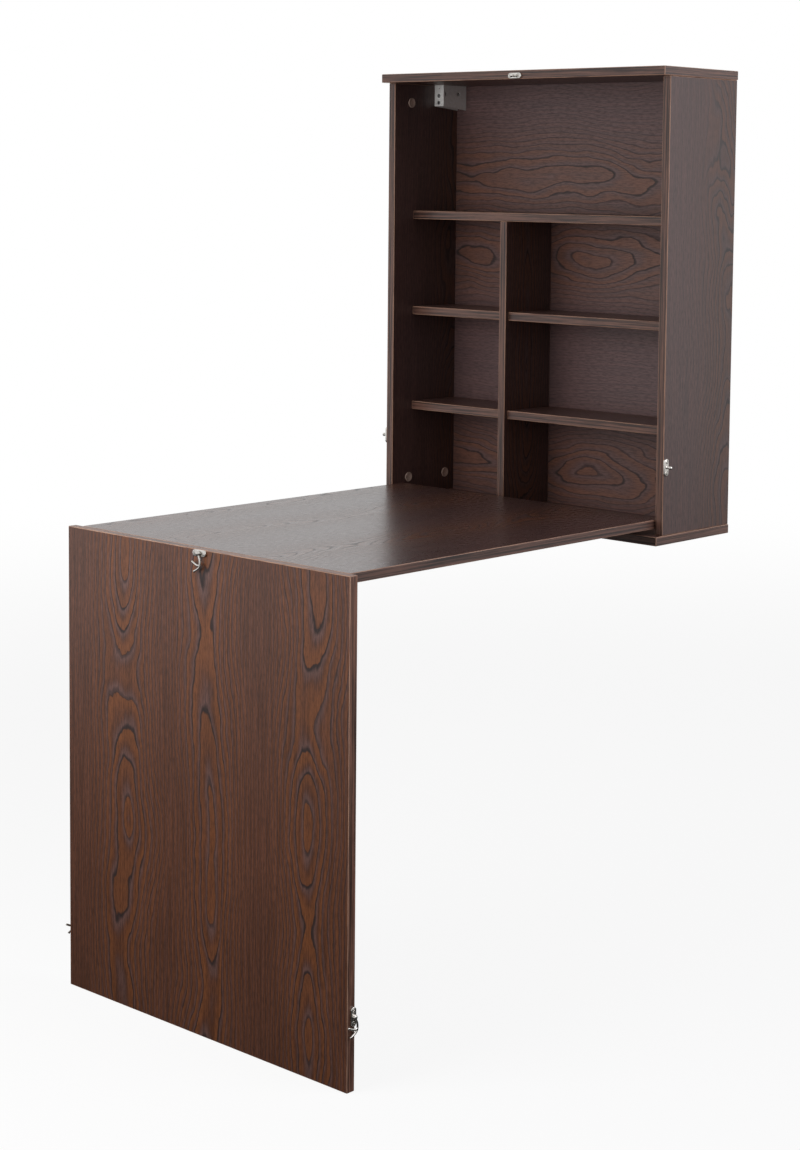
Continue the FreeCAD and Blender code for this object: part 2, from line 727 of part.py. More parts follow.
def hooks_and_catches():
    """The top hook and the two side hooks on the leg, and the catches on the cabinet."""
    keeper = ("0", "top_front_y", "keeper_z")
    catch_screws = latch_plate("top_keeper", "top_panel", keeper, "-Y", False)
    pivot = ("0", "leg_outer_y", "top_hook_z")
    hook_screws = latch_plate("top_hook_plate", "leg_panel", pivot, "-Y", True)
    swing_hook("top_hook", shifted(pivot, "-Y", "hook_lift"), FRONTAL)
    for side in SIDES:
        out = outward(side)
        side_x = mirrored(side, "side_out_x")
        catch = (side_x, "catch_y", "catch_z")
        catch_screws += latch_plate(side + "_side_catch", side + "_side_panel", catch, out, False)
        pivot = (side_x, "side_hook_y", "side_hook_z")
        hook_screws += latch_plate(side + "_hook_plate", "leg_panel", pivot, out, True)
        lift = "hook_lift" if SIDES[side] > 0 else "hook_lift + hook"
        swing_hook(side + "_side_hook", shifted(pivot, out, lift), UPRIGHT)
    group("catch_screws", catch_screws)
    group("hook_plate_screws", hook_screws)


def cabinet_boards(arm_slots):
    """Top, bottom and side panels with the groove that holds the back board."""
    groove_low = ("-groove_x", "back_front_y - groove_slip")
    groove_high = ("groove_x", "back_rear_y + groove_slip")
    levels = {
        "top_panel": ("top_under_z", "top_z", "top_under_z - overrun", "top_under_z + back_groove"),
        "bottom_panel": ("bottom_z", "bottom_top_z", "bottom_top_z - back_groove", "bottom_top_z + overrun"),
    }
    for label, (low_z, high_z, groove_low_z, groove_high_z) in levels.items():
        groove = block("BackGroove", (*groove_low, groove_low_z), (*groove_high, groove_high_z))
        board(label, ("-top_side_x", "top_front_y", low_z), ("top_side_x", "0", high_z), [groove])
    for side in SIDES:
        side_groove = side_block(
            "SideGroove",
            side,
            ("side_in_x - overrun", "back_front_y - groove_slip", "bottom_top_z - overrun"),
            (*groove_high, "top_under_z + overrun"),
        )
        low_x = "side_in_x" if SIDES[side] > 0 else "-side_out_x"
        high_x = "side_out_x" if SIDES[side] > 0 else "-side_in_x"
        board(
            side + "_side_panel",
            (low_x, "side_front_y", "bottom_top_z"),
            (high_x, "0", "top_under_z"),
            [side_groove],
        )
    tuck = "back_groove - groove_slip"
    board(
        "back_panel",
        (f"-side_in_x - ({tuck})", "back_front_y", f"bottom_top_z - ({tuck})"),
        (f"side_in_x + {tuck}", "back_rear_y", f"top_under_z + {tuck}"),
        arm_slots,
    )


def folding_boards():
    """The desktop between the side panels and the leg panel across its outer end."""
    board(
        "desktop_panel",
        ("-desk_side_x", "desk_end_y", "desk_under_z"),
        ("desk_side_x", "desk_rear_y", "desk_top_z"),
    )
    board(
        "leg_panel",
        ("-side_out_x", "leg_outer_y", "floor_z"),
        ("side_out_x", "leg_inner_y", "desk_top_z"),
    )


def check_document():
    """Stop if any object failed or any finished piece is not a sound shape."""
    for item in doc.Objects:
        if "Invalid" in item.State or "Error" in item.State:
            raise RuntimeError(f"{item.Label} failed: {item.State}")
    for item in NODES:
        if item.Shape.isNull() or not item.Shape.isValid():
            raise RuntimeError(f"{item.Label} has no sound shape")


dowels = corner_fittings()
dowels += shelves()
group("shelf_dowels", dowels)
desk_pivots()
leg_hinges()
arm_slots = wall_hangers()
hooks_and_catches()
cabinet_boards(arm_slots)
folding_boards()
doc.recompute()
check_document()

os.makedirs("parts", exist_ok=True)
for item in NODES:
    item.Shape.exportStep(f"parts/{item.Label}.step")
    print(item.Label, len(item.Shape.Solids), round(item.Shape.Volume, 2))
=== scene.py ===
"""Looks of a fold-down wall desk: dark wood-grain boards, bright hooks and steel hangers."""
import json
import math

import bmesh
import bpy
from mathutils import Matrix, Vector

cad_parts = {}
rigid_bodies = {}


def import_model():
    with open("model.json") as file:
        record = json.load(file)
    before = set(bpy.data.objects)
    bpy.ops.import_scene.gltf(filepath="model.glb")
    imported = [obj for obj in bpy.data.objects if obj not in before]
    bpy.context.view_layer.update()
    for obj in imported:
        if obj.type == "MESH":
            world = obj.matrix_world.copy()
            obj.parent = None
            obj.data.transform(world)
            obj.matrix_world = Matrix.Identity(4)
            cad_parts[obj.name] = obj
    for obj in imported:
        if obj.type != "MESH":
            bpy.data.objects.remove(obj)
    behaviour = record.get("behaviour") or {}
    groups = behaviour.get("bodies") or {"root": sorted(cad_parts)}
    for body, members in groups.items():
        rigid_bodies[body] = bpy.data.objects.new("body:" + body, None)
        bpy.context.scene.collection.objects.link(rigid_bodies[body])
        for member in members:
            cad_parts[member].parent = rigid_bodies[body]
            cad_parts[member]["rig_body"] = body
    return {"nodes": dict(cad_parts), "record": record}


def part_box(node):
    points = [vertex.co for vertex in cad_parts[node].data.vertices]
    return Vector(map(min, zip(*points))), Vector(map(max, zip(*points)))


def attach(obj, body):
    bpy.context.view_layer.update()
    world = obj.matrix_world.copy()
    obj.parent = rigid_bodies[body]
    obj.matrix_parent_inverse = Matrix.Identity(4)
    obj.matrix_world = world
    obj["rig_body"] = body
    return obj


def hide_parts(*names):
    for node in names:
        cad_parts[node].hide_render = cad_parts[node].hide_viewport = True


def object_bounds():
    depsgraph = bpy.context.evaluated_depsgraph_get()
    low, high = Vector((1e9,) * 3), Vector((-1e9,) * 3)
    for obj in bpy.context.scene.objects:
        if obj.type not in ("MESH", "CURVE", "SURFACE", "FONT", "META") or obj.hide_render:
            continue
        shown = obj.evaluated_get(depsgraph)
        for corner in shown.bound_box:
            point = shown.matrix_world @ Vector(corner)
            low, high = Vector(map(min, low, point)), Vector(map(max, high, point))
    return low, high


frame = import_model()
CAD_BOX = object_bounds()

MM = 0.001
AXES = "XYZ"

# Camera, worked out from the corners of the boards in the photograph's 800 x 1150 frame
FRAME_WIDTH = 800
FRAME_HEIGHT = 1150
FOCAL_PIXELS = 2202.1
AXIS_PIXEL = (496.7, 374.7)
CAMERA_PLACE = (2.4634, -3.0497, -0.1125)
CAMERA_AZIMUTH = -41.26
CAMERA_PITCH = -5.0
CAMERA_ROLL = 0.72
SENSOR = 36.0
SIGHT = 100


class Value:
    """A socket of a material's nodes; arithmetic on it adds Math nodes."""

    def __init__(self, shader, socket):
        self.shader = shader
        self.socket = socket

    def math(self, operation, *others):
        return self.shader.node("Math", {"operation": operation}, dict(enumerate((self, *others))))

    def reflected(self, operation, other):
        return self.shader.node("Math", {"operation": operation}, {0: other, 1: self})

    def __add__(self, other):
        return self.math("ADD", other)

    def __radd__(self, other):
        return self.math("ADD", other)

    def __sub__(self, other):
        return self.math("SUBTRACT", other)

    def __rsub__(self, other):
        return self.reflected("SUBTRACT", other)

    def __mul__(self, other):
        return self.math("MULTIPLY", other)

    def __rmul__(self, other):
        return self.math("MULTIPLY", other)

    def __truediv__(self, other):
        return self.math("DIVIDE", other)

    def __rtruediv__(self, other):
        return self.reflected("DIVIDE", other)

    def __pow__(self, other):
        return self.math("POWER", other)

    def __abs__(self):
        return self.math("ABSOLUTE")

    def least(self, other):
        return self.math("MINIMUM", other)

    def most(self, other):
        return self.math("MAXIMUM", other)

    def fraction(self):
        return self.math("FRACT")

    def floor(self):
        return self.math("FLOOR")

    def between(self, low, high):
        """Where the value lies from low, 0, to high, 1, eased at both ends."""
        return self.shader.node(
            "MapRange", {"interpolation_type": "SMOOTHSTEP"}, {0: self, 1: low, 2: high, 3: 0.0, 4: 1.0})

    def spread(self, at_zero, at_one):
        """The value's 0 to 1 laid over the range between two numbers."""
        return at_zero + (at_one - at_zero) * self

    def ramp(self, stops):
        """A colour for the value, from (place, colour) stops."""
        return self.shader.node("ValToRGB", {"stops": stops}, {0: self})


class Shader:
    """The nodes of a material or a world. node() adds one node: its settings first, then its inputs."""

    def __init__(self, owner):
        self.owner = owner
        owner.use_nodes = True
        self.tree = owner.node_tree
        self.tree.nodes.clear()

    def node(self, kind, settings=None, inputs=None, output=0):
        made = self.tree.nodes.new("ShaderNode" + kind)
        for key, value in (settings or {}).items():
            if key == "stops":
                self.fill_ramp(made.color_ramp, value)
            else:
                setattr(made, key, value)
        for key, value in (inputs or {}).items():
            if isinstance(value, Value):
                self.tree.links.new(value.socket, made.inputs[key])
            else:
                made.inputs[key].default_value = value
        return Value(self, made.outputs[output]) if len(made.outputs) else None

    @staticmethod
    def fill_ramp(ramp, stops):
        while len(ramp.elements) < len(stops):
            ramp.elements.new(0.5)
        for element, (place, colour) in zip(ramp.elements, stops):
            element.position = place
            element.color = colour

    def place(self):
        """Where a point lies in its piece's own frame, in metres."""
        return self.node("TexCoord", output="Object")

    def noise(self, x, y, x_waves, y_waves, detail, roughness=0.5):
        """Smooth noise around one half, over two places with a number of waves per metre each."""
        vector = self.node("CombineXYZ", None, {0: x * x_waves, 1: y * y_waves})
        settings = {"noise_dimensions": "2D"}
        inputs = {"Vector": vector, "Scale": 1.0, "Detail": detail, "Roughness": roughness}
        return self.node("TexNoise", settings, inputs)

    def parts(self, vector):
        """The three numbers of a vector."""
        split = self.node("SeparateXYZ", None, {0: vector})
        return [Value(self, socket) for socket in split.socket.node.outputs]

    def mix(self, share, first, second):
        """The first colour where share is 0, the second where it is 1."""
        return self.node("Mix", {"data_type": "RGBA"}, {0: share, 6: first, 7: second}, output=2)

    def shade(self, colour, factor):
        """A colour made lighter or darker by a number."""
        return self.node("VectorMath", {"operation": "SCALE"}, {0: colour, "Scale": factor})

    def bump(self, height, strength, distance):
        return self.node("Bump", None, {"Height": height, "Strength": strength, "Distance": distance})

    def coat(self, **inputs):
        """Finish the material with a Principled surface; a key's underscores stand for spaces."""
        named = {key.replace("_", " "): value for key, value in inputs.items()}
        self.finish(self.node("BsdfPrincipled", None, named))
        return self.owner

    def finish(self, surface):
        self.node("OutputMaterial", None, {"Surface": surface})


def new_shader(name):
    return Shader(bpy.data.materials.new(name))


def srgb(red, green, blue):
    """A colour written as screen values from 0 to 255, made linear."""
    linear = []
    for part in (red, green, blue):
        part /= 255
        linear.append(part / 12.92 if part <= 0.04045 else ((part + 0.055) / 1.055) ** 2.4)
    return (*linear, 1.0)


# Colours of the printed wood, its edges and the raw board, and of painted light: grey sheen on the boards,
# a paler leg edge and a highlight on the corners
BROWN = srgb(91, 56, 41)
DEEP_BROWN = srgb(72, 43, 30)
AMBER = srgb(112, 66, 37)
MAUVE = srgb(97, 71, 66)
# Painted sheen: a grey laid over the print of every board but the leg, standing in for reflected light.
PAINTED_SHEEN_GREY = srgb(80, 63, 65)
GROWTH_LINE = srgb(30, 19, 18)
EDGE_DARK = srgb(44, 29, 25)
EDGE_LIGHT = srgb(116, 84, 72)
# The leg's edge strip is the same strip as the others in paler colours: painted light on the leg's edge.
LEG_EDGE_DARK_PAINTED_LIGHT = srgb(58, 35, 26)
LEG_EDGE_PALE_PAINTED_LIGHT = srgb(148, 104, 84)
ARRIS_HIGHLIGHT_TAN = srgb(176, 138, 116)
CHIPS = ((0.0, srgb(112, 84, 58)), (0.5, srgb(158, 126, 90)), (1.0, srgb(186, 156, 116)))

# Columns of grain figure: place across the board and the height where the rings lie deepest
LEG_FIGURES = ((-0.176, -0.91), (0.015, -1.25), (0.240, -1.23))
BACK_FIGURES = ((-0.103, 0.175), (-0.245, -0.20), (-0.620, -0.20))
SIDE_FIGURES = ((0.146, 0.245), (0.420, -0.20))
BOARD_FIGURES = ((0.120, 0.10), (0.305, 0.42), (0.535, -0.15))
FIGURE_REPEAT = 0.78
FIGURE_SWING = 0.90
FIGURE_DEPTH = 0.034
FIGURE_HALF = 0.045
FIGURE_FALL = 4.0

# Noise in the print: waves per metre across and along the grain, detail and roughness
DRIFT_NOISE = (2.5, 2.2, 1.0)
BEND_NOISE = (13, 5.5, 2.0)
WIGGLE_NOISE = (70, 26, 2.0)
STREAK_NOISE = (300, 6, 3.0, 0.6)
PORE_NOISE = (540, 75, 3.0, 0.6)
MOTTLE_NOISE = (7, 2.4, 2.0)
EDGE_STREAK_NOISE = (330, 5, 3.0, 0.65)
EDGE_FIBRE_NOISE = (700, 60, 2.0)
# The noise that spreads the painted highlight along the corners
CORNER_HIGHLIGHT_NOISE = (40, 14, 3.0)
# The same, along before across
STRAY_NOISE = (3.1, 6.0, 1.0)

# How far noise moves the print's lines, in metres: everywhere, or away from a figure and within it
DRIFT = 0.05
STRAY = 0.09
BEND_AWAY = 0.004
BEND_WITHIN = 0.020
WIGGLE = (0.6 * MM, 4.2 * MM)

# Growth rings: where the count starts, rings per metre, and how they crowd further out
RING_START = 0.45
RING_RATE = 88.0
RING_CROWDING = 1250.0
# The dark line of a ring: its share of the ring, and its core, fade and lead as shares of that
LINE_WIDTH = 0.06
LINE_CORE = 0.5
LINE_FADE = 2.2
LINE_LEAD = 0.7
# Spans of a ring where its pale rim ends and its warm middle begins, and spans of the noise
RIM_SPAN = (0.10, 0.48)
MIDDLE_SPAN = (0.30, 0.80)
STREAK_SPAN = (0.34, 0.66)
PORE_SPAN = (0.34, 0.60)
EDGE_SPAN = (0.36, 0.64)
CORNER_HIGHLIGHT_SPAN = (0.25, 0.55)
CLOUD_SPAN = (0.3, 0.7)

# Shares of each colour away from a figure and within it, and for the faintest and strongest ring
MIDDLE_SHARE = (0.04, 0.90)
RIM_SHARE = (0.15, 0.85)
LINE_SHARE = (0.26, 0.98)
RANK_SHARE = (0.6, 1.0)
# The share of the painted sheen kept within a figure.
PAINTED_SHEEN_KEPT = 0.5
# Tone and roughness from the least to the most of a noise
STREAK_TONE = (0.72, 1.28)
PORE_TONE = (0.72, 1.14)
MOTTLE_TONE = (0.88, 1.14)
EDGE_TONE = (0.62, 1.32)
EDGE_ROUGH = (0.34, 0.48)
CORNER_HIGHLIGHT_ROUGH = (0.35, 0.55)
# What pores, streaks and lines add to the roughness and to the height
PORE_ROUGH, STREAK_ROUGH, LINE_ROUGH = 0.06, 0.06, 0.12
PORE_HEIGHT, STREAK_HEIGHT, LINE_HEIGHT = 0.6, 0.4, 0.5
# Strength and depth of the fine relief
WOOD_RELIEF = (0.07, 0.3 * MM)
EDGE_RELIEF = (0.12, 0.2 * MM)
CHIP_RELIEF = (0.4, 0.4 * MM)
EDGE_GLOSS = 0.55
CHIP_SCALE = 420.0
CHIP_ROUGH = 0.85


def grain_places(shader):
    """Across and along the grain, in metres, from the grain layer of a board's mesh."""
    return shader.parts(shader.node("UVMap", {"uv_map": "grain"}))[:2]


def back_places(shader):
    """Across and along the grain of the back board, whose grain runs from side to side."""
    side, _, height = shader.parts(shader.place())
    return height, side


def wood_face(name, places, figures, *, breadth, sway, level, painted_sheen, gloss, rough,
              swing=FIGURE_SWING, deep=FIGURE_DEPTH, shadow=0.0):
    """Printed wood: flat-sawn figures in columns, straight grain between them, fine pores."""
    shader = new_shader(name)
    across, along = places(shader)
    drift = (shader.noise(across, along, *DRIFT_NOISE) - 0.5) * DRIFT
    stray = (shader.noise(along, across, *STRAY_NOISE) - 0.5) * STRAY
    radius = None
    offset = None
    for centre, deepest in figures:
        column = (across + drift - centre) / FIGURE_REPEAT + 0.5
        distance = abs(column.fraction() - 0.5) * FIGURE_REPEAT
        depth = ((along - deepest) * (math.tau / swing)).math("COSINE") * deep + stray
        reach = (distance * distance + depth * depth) ** 0.5
        radius = reach if radius is None else radius.least(reach)
        offset = distance if offset is None else offset.least(distance)
    near = 1.0 / (1.0 + (offset / (FIGURE_HALF * breadth)) ** FIGURE_FALL)
    bend = (shader.noise(across, along, *BEND_NOISE) - 0.5) * (BEND_AWAY + BEND_WITHIN * sway * near)
    wiggle = (shader.noise(across, along, *WIGGLE_NOISE) - 0.5) * near.spread(*WIGGLE)
    radius = (radius + bend + wiggle) / breadth
    ring = RING_START + radius * RING_RATE + radius * radius * RING_CROWDING
    step = ring.fraction()
    rank = shader.node("TexWhiteNoise", {"noise_dimensions": "1D"}, {"W": ring.floor()})
    strength = rank.spread(*RANK_SHARE)
    width = LINE_WIDTH + radius
    trail = 1.0 - step.between(width * LINE_CORE, width * LINE_FADE)
    line = trail.most(step.between(1.0 - width * LINE_LEAD, 1.0))
    rim = 1.0 - step.between(*RIM_SPAN)
    middle = step.between(*MIDDLE_SPAN)

    streak = shader.noise(across, along, *STREAK_NOISE)
    pores = shader.noise(across, along, *PORE_NOISE).between(*PORE_SPAN)
    mottle = shader.noise(across, along, *MOTTLE_NOISE)
    colour = shader.mix(streak.between(*STREAK_SPAN), DEEP_BROWN, BROWN)
    colour = shader.mix(middle * near.spread(*MIDDLE_SHARE) * strength, colour, AMBER)
    colour = shader.mix(rim * near.spread(*RIM_SHARE), colour, MAUVE)
    # Painted sheen: the print greyed in place of reflected light, less within a figure.
    colour = shader.mix(near.spread(painted_sheen, painted_sheen * PAINTED_SHEEN_KEPT), colour, PAINTED_SHEEN_GREY)
    colour = shader.mix(line * near.spread(*LINE_SHARE) * strength, colour, GROWTH_LINE)
    tone = streak.spread(*STREAK_TONE) * pores.spread(*PORE_TONE) * mottle.spread(*MOTTLE_TONE)
    tone = tone * near.spread(level, level * (1.0 - shadow))
    height = streak * STREAK_HEIGHT + pores * PORE_HEIGHT - line * near * LINE_HEIGHT
    roughness = pores.spread(rough + PORE_ROUGH, rough) + streak * STREAK_ROUGH + line * near * LINE_ROUGH
    return shader.coat(
        Base_Color=shader.shade(colour, tone),
        Roughness=roughness,
        Specular_IOR_Level=gloss,
        Normal=shader.bump(height, *WOOD_RELIEF),
    )


def edge_band(name, dark, light):
    """Edge strip: fine streaks along the strip, paler than the faces."""
    shader = new_shader(name)
    across, along = grain_places(shader)
    streak = shader.noise(across, along, *EDGE_STREAK_NOISE)
    fibre = shader.noise(across, along, *EDGE_FIBRE_NOISE)
    colour = shader.mix(streak.between(*EDGE_SPAN), dark, light)
    return shader.coat(
        Base_Color=shader.shade(colour, fibre.spread(*EDGE_TONE)),
        Roughness=fibre.spread(*EDGE_ROUGH),
        Specular_IOR_Level=EDGE_GLOSS,
        Normal=shader.bump(streak, *EDGE_RELIEF),
    )


def arris():
    """The rounded corner of a strip, paler in a thin line: a painted highlight."""
    shader = new_shader("arris")
    across, along = grain_places(shader)
    corner_highlight = shader.noise(across, along, *CORNER_HIGHLIGHT_NOISE)
    # Painted highlight: the corner runs from the edge's pale colour to a paler tan.
    colour = shader.mix(corner_highlight.between(*CORNER_HIGHLIGHT_SPAN), EDGE_LIGHT, ARRIS_HIGHLIGHT_TAN)
    return shader.coat(Base_Color=colour, Roughness=corner_highlight.spread(*CORNER_HIGHLIGHT_ROUGH))


def chipboard():
    """Raw pressed board on the edges that face the wall."""
    shader = new_shader("chipboard")
    inputs = {"Vector": shader.place(), "Scale": CHIP_SCALE}
    grey = shader.node("RGBToBW", None, {0: shader.node("TexVoronoi", None, inputs, output="Color")})
    return shader.coat(
        Base_Color=grey.ramp(CHIPS), Roughness=CHIP_ROUGH, Normal=shader.bump(grey, *CHIP_RELIEF))


CLOUD = {"Scale": 180.0, "Detail": 3.0}
CLOUD_ROUGH = 0.12
SPECK = {"Scale": 900.0, "Detail": 2.0}
SPECK_TONE = (0.85, 1.15)
SPECK_ROUGH = (0.5, 0.6)
SPECK_RELIEF = (0.1, 0.2 * MM)


def plated(name, colour, pale, metallic, roughness):
    """Plated metal, faintly clouded."""
    shader = new_shader(name)
    cloud = shader.node("TexNoise", None, {"Vector": shader.place(), **CLOUD})
    return shader.coat(
        Base_Color=shader.mix(cloud.between(*CLOUD_SPAN), colour, pale),
        Metallic=metallic,
        Roughness=roughness + CLOUD_ROUGH * cloud,
    )


def moulded(name, colour):
    """Matte moulded plastic, or the plain wood of a dowel."""
    shader = new_shader(name)
    speck = shader.node("TexNoise", None, {"Vector": shader.place(), **SPECK})
    return shader.coat(
        Base_Color=shader.shade(colour[:3], speck.spread(*SPECK_TONE)),
        Roughness=speck.spread(*SPECK_ROUGH),
        Normal=shader.bump(speck, *SPECK_RELIEF),
    )


WOOD = wood_face(
    "board_wood", grain_places, BOARD_FIGURES,
    breadth=1.15, sway=1.0, level=0.98, painted_sheen=0.58, gloss=0.60, rough=0.32)
# The desk's print is made darker than the other boards: painted shade, standing in for the dark cabinet
# mirrored in its top.
DESK_WOOD = wood_face(
    "desk_wood", grain_places, BOARD_FIGURES,
    breadth=1.15, sway=1.0, level=0.78, painted_sheen=0.58, gloss=0.92, rough=0.24)
SIDE_WOOD = wood_face(
    "side_wood", grain_places, SIDE_FIGURES, swing=2.0, deep=0.07, shadow=0.28,
    breadth=1.6, sway=1.8, level=0.96, painted_sheen=0.56, gloss=0.60, rough=0.32)
LEG_WOOD = wood_face(
    "leg_wood", grain_places, LEG_FIGURES,
    breadth=1.65, sway=1.1, level=0.99, painted_sheen=0.0, gloss=0.50, rough=0.30)
# The back's print is made lighter and greyer than the other boards: painted light and painted sheen,
# standing in for the sheen in its lower bays.
BACK_WOOD = wood_face(
    "back_wood", back_places, BACK_FIGURES, shadow=0.16,
    breadth=1.7, sway=2.0, level=1.24, painted_sheen=0.80, gloss=1.0, rough=0.54)
EDGE = edge_band("edge_band", EDGE_DARK, EDGE_LIGHT)
# The leg's own edge strip is painted lighter: painted light.
LEG_EDGE_PAINTED_LIGHT = edge_band("leg_edge_band", LEG_EDGE_DARK_PAINTED_LIGHT, LEG_EDGE_PALE_PAINTED_LIGHT)
ARRIS = arris()
RAW = chipboard()
NICKEL = plated("bright_nickel", srgb(190, 186, 180), srgb(212, 209, 204), 1.0, 0.14)
ZINC = plated("zinc", srgb(176, 178, 180), srgb(204, 205, 206), 1.0, 0.28)
HANGER = plated("hanger_steel", srgb(236, 234, 230), srgb(246, 245, 242), 0.05, 0.36)
DARK_ZINC = plated("dark_zinc", srgb(70, 68, 67), srgb(92, 90, 88), 1.0, 0.30)
# The covers' pale brown is partly their own colour and partly painted sheen.
CAP_AND_PAINTED_SHEEN = moulded("brown_plastic", srgb(186, 160, 146))
NYLON = moulded("bush_plastic", srgb(66, 52, 47))
BEECH = moulded("dowel_wood", srgb(196, 160, 116))

# Finishes of the nodes that keep their own shape, by their slot
SLOT_FINISH = {
    "bright_nickel": NICKEL,
    "zinc": ZINC,
    "hanger_steel": HANGER,
    "brown_plastic": CAP_AND_PAINTED_SHEEN,
    "bush_plastic": NYLON,
    "dowel_wood": BEECH,
}

# A board's finishes, in the order of its mesh's materials
FACE, STRIP, CORNER, RAW_SIDE = range(4)
OWN_WOOD = {
    "leg_panel": LEG_WOOD,
    "desktop_panel": DESK_WOOD,
    "right_side_panel": SIDE_WOOD,
    "left_side_panel": SIDE_WOOD,
}
OWN_EDGE = {"leg_panel": LEG_EDGE_PAINTED_LIGHT}
ARRIS_WIDTH = 1.1 * MM
ARRIS_STEPS = 2
ROUND = 0.5
FLAT = 0.999
# Each board's grain axis, where its print starts across and along, and the side that stays raw
BOARDS = {
    "leg_panel": ("Z", (0.0, 0.0), ""),
    "desktop_panel": ("Y", (0.40, 0.55), ""),
    "right_side_panel": ("Z", (0.153, 0.37), "+Y"),
    "left_side_panel": ("Z", (0.42, 1.90), "+Y"),
    "top_panel": ("X", (0.25, 2.30), "+Y"),
    "bottom_panel": ("X", (0.66, 3.10), "+Y"),
    "upper_shelf": ("X", (0.90, 4.20), "+Y"),
    "centre_divider": ("Z", (0.21, 5.30), "+Y"),
    "left_middle_shelf": ("X", (1.30, 6.10), "+Y"),
    "right_middle_shelf": ("X", (1.60, 7.40), "+Y"),
    "left_lower_shelf": ("X", (1.85, 8.20), "+Y"),
    "right_lower_shelf": ("X", (2.10, 9.70), "+Y"),
}


def mesh_from(shape, name):
    """A mesh datablock from a bmesh, which is freed."""
    shape.normal_update()
    data = bpy.data.meshes.new(name)
    shape.to_mesh(data)
    shape.free()
    return data


def add_piece(name, data, node):
    """An object for a finished mesh that stands for a node and rides on its body."""
    piece = bpy.data.objects.new(name, data)
    bpy.context.scene.collection.objects.link(piece)
    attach(piece, frame["nodes"][node]["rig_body"])
    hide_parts(node)


def board_piece(node, grain, start, raw):
    """A board with eased corners, its faces laid out along the grain and its edges along their length."""
    low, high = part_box(node)
    size = high - low
    thin = min(range(3), key=lambda axis: size[axis])
    shape = bmesh.new()
    bmesh.ops.create_cube(shape, size=1.0)
    bmesh.ops.scale(shape, vec=size, verts=shape.verts)
    bmesh.ops.translate(shape, vec=(low + high) / 2, verts=shape.verts)
    bmesh.ops.bevel(
        shape, geom=list(shape.edges), offset=ARRIS_WIDTH, segments=ARRIS_STEPS,
        profile=ROUND, affect="EDGES")
    layer = shape.loops.layers.uv.new("grain")
    for face in shape.faces:
        normal = face.normal
        facing = max(range(3), key=lambda axis: abs(normal[axis]))
        flat = abs(normal[facing]) > FLAT
        side = ("+" if normal[facing] > 0 else "-") + AXES[facing]
        rest = [axis for axis in range(3) if axis != facing]
        if facing == thin:
            along = AXES.index(grain)
        else:
            along = max(rest, key=lambda axis: size[axis])
        across = rest[0] if rest[1] == along else rest[1]
        if not flat:
            face.material_index = CORNER
        elif facing == thin:
            face.material_index = FACE
        else:
            face.material_index = RAW_SIDE if side == raw else STRIP
        for loop in face.loops:
            place = loop.vert.co
            loop[layer].uv = (place[across] + start[0], place[along] + start[1])
        face.smooth = not flat
    data = mesh_from(shape, node + "_board")
    for material in (OWN_WOOD.get(node, WOOD), OWN_EDGE.get(node, EDGE), ARRIS, RAW):
        data.materials.append(material)
    add_piece(node + "_board", data, node)


SMOOTH_BELOW = math.radians(35)
ROUND_SIDES = 32
RIM_STEPS = 4


def new_piece(node, data, material):
    """A fitting's finished mesh in one material, smooth but for its sharp edges."""
    data.materials.clear()
    data.materials.append(material)
    for face in data.polygons:
        face.use_smooth = True
    data.set_sharp_from_angle(angle=SMOOTH_BELOW)
    add_piece(node + "_piece", data, node)


def evaluated(data, *modifiers):
    """A mesh with modifiers applied; each is a type and its settings."""
    holder = bpy.data.objects.new("holder", data)
    bpy.context.scene.collection.objects.link(holder)
    for kind, settings in modifiers:
        modifier = holder.modifiers.new(kind, kind)
        for key, value in settings.items():
            setattr(modifier, key, value)
    depsgraph = bpy.context.evaluated_depsgraph_get()
    made = bpy.data.meshes.new_from_object(holder.evaluated_get(depsgraph))
    bpy.data.objects.remove(holder)
    return made


def combined(data, tool, operation):
    """Two closed meshes made one: their UNION, or the first less the second by DIFFERENCE."""
    cutter = bpy.data.objects.new("cutter", tool)
    bpy.context.scene.collection.objects.link(cutter)
    made = evaluated(data, ("BOOLEAN", {"object": cutter, "operation": operation, "solver": "EXACT"}))
    bpy.data.objects.remove(cutter)
    return made


def turned(profile, sides=ROUND_SIDES):
    """A closed turned shape about Z from (radius, height) points that start and end on the axis."""
    shape = bmesh.new()
    rings = []
    for radius, height in profile:
        count = sides if radius else 1
        angles = [math.tau * step / count for step in range(count)]
        places = [(radius * math.cos(angle), radius * math.sin(angle), height) for angle in angles]
        rings.append([shape.verts.new(place) for place in places])
    for lower, upper in zip(rings, rings[1:]):
        for step in range(sides):
            corners = [lower[step % len(lower)], lower[(step + 1) % len(lower)],
                       upper[(step + 1) % len(upper)], upper[step % len(upper)]]
            shape.faces.new(list(dict.fromkeys(corners)))
    return mesh_from(shape, "turned")


def raised(outline, low, high, rounding=0.0):
    """An upright block over an outline, its upper rim rounded."""
    shape = bmesh.new()
    base = [shape.verts.new((x, y, low)) for x, y in outline]
    top = [shape.verts.new((x, y, high)) for x, y in outline]
    shape.faces.new(base[::-1])
    shape.faces.new(top)
    for step in range(len(outline)):
        after = (step + 1) % len(outline)
        shape.faces.new((base[step], base[after], top[after], top[step]))
    shape.normal_update()
    if rounding:
        rim = [edge for edge in shape.edges if all(vert.co.z == high for vert in edge.verts)]
        bmesh.ops.bevel(
            shape, geom=rim, offset=rounding, segments=RIM_STEPS, profile=ROUND, affect="EDGES")
    return mesh_from(shape, "raised")


def arc(centre, radius, start, end, steps):
    """Points on an arc, angles in degrees."""
    points = []
    for step in range(steps + 1):
        angle = math.radians(start + (end - start) * step / steps)
        points.append((centre[0] + radius * math.cos(angle), centre[1] + radius * math.sin(angle)))
    return points


